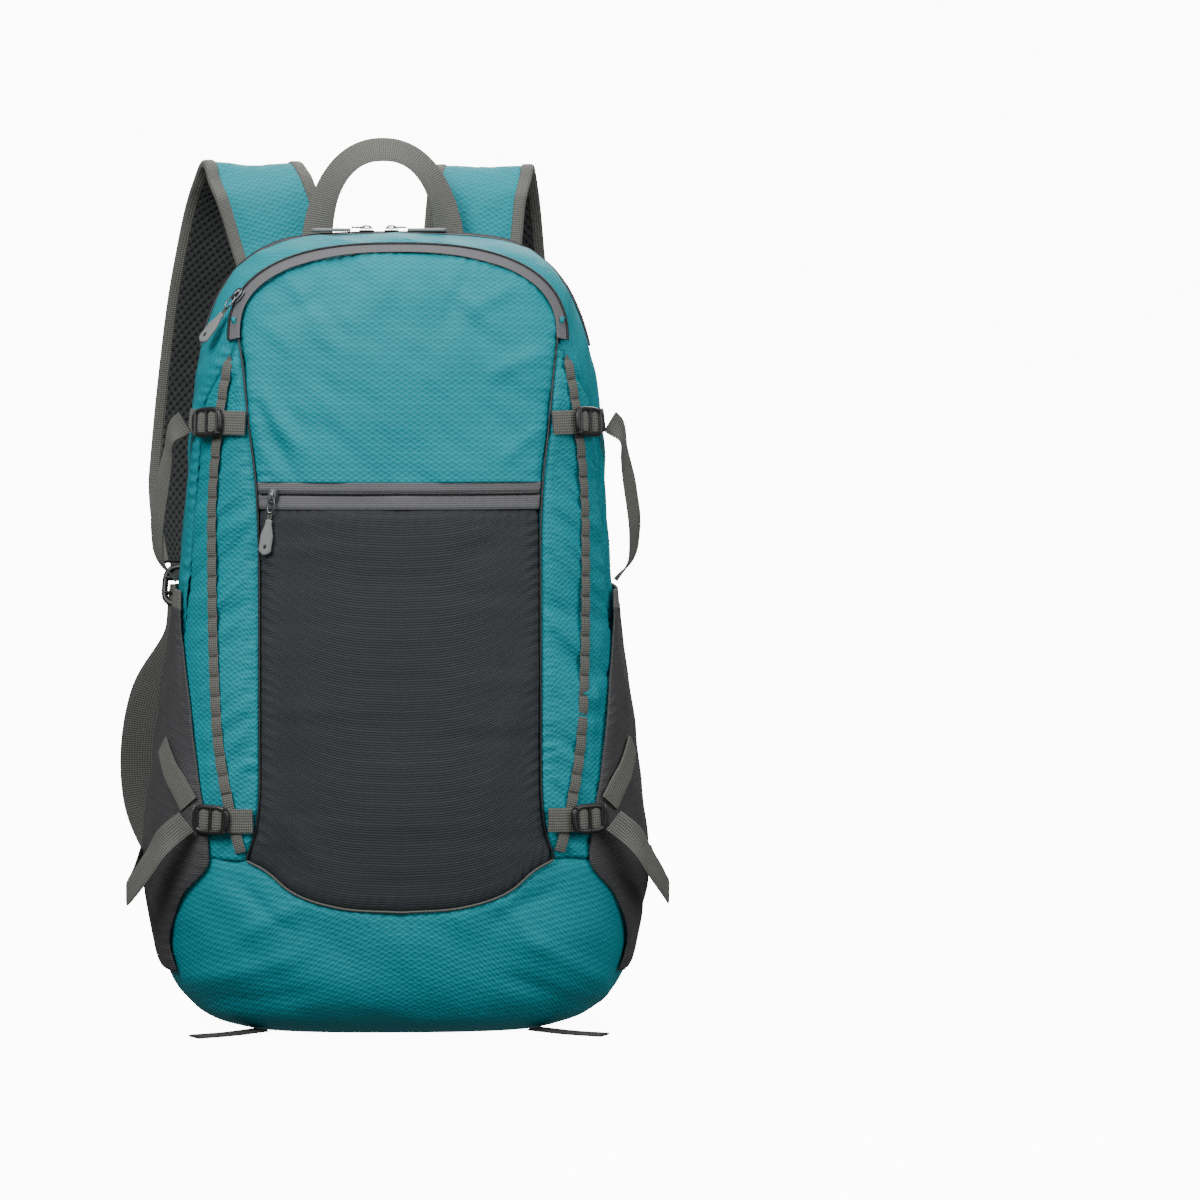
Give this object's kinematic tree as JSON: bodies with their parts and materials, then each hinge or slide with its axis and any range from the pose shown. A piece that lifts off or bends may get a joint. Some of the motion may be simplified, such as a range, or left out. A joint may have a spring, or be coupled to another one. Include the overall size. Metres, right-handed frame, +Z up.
{
  "type": "packable backpack",
  "caption": "Light folding backpack in teal ripstop with a grey front pocket, side pockets, compression straps, a grab handle and padded shoulder straps.",
  "frame": {"origin": "middle of the base, on the ground", "axes": "+Z up, the front panel faces -Y, the wearer's back is at +Y"},
  "size_m": [0.3464, 0.2439, 0.5623],
  "materials": {
    "shell_fabric": "woven ripstop, slight sheen",
    "grey_fabric": "matt woven",
    "mesh_fabric": "open spacer mesh",
    "webbing": "ribbed webbing",
    "zip_tape": "woven tape with a moulded coil",
    "buckle_plastic": "satin moulded",
    "zip_metal": "plated",
    "pull_rubber": "moulded, matt"
  },
  "bodies": {
    "root": {"base_panel": "shell_fabric", "front_panel": "shell_fabric", "front_pocket": "grey_fabric", "pocket_zip": "zip_tape", "side_panel_left": "shell_fabric", "side_panel_right": "shell_fabric", "gusset": "shell_fabric", "back_panel": "mesh_fabric", "side_pocket_left": "grey_fabric", "pocket_hem_left": "webbing", "side_pocket_right": "grey_fabric", "pocket_hem_right": "webbing", "main_zip": "zip_tape", "daisy_chain_left": "webbing", "daisy_chain_right": "webbing", "compression_tab_upper_left": "webbing", "buckle_upper_left": "buckle_plastic", "compression_web_upper_left": "webbing", "compression_tab_lower_left": "webbing", "buckle_lower_left": "buckle_plastic", "compression_anchor_left": "webbing", "compression_web_lower_left": "webbing", "compression_tab_upper_right": "webbing", "buckle_upper_right": "buckle_plastic", "compression_web_upper_right": "webbing", "compression_tab_lower_right": "webbing", "buckle_lower_right": "buckle_plastic", "compression_anchor_right": "webbing", "compression_web_lower_right": "webbing", "grab_handle": "webbing", "shoulder_strap_left": "shell_fabric", "strap_buckle_left": "buckle_plastic", "strap_webbing_left": "webbing", "shoulder_strap_right": "shell_fabric", "strap_buckle_right": "buckle_plastic", "strap_webbing_right": "webbing", "top_zip": "zip_tape", "base_loop_left": "webbing", "base_loop_right": "webbing", "zip_slider_main": "zip_metal", "zip_pull_main": "pull_rubber", "zip_slider_pocket": "zip_metal", "zip_pull_pocket": "pull_rubber", "zip_slider_top_left": "zip_metal", "zip_pull_top_left": "pull_rubber", "zip_slider_top_right": "zip_metal", "zip_pull_top_right": "pull_rubber"}
  },
  "joints": []
}
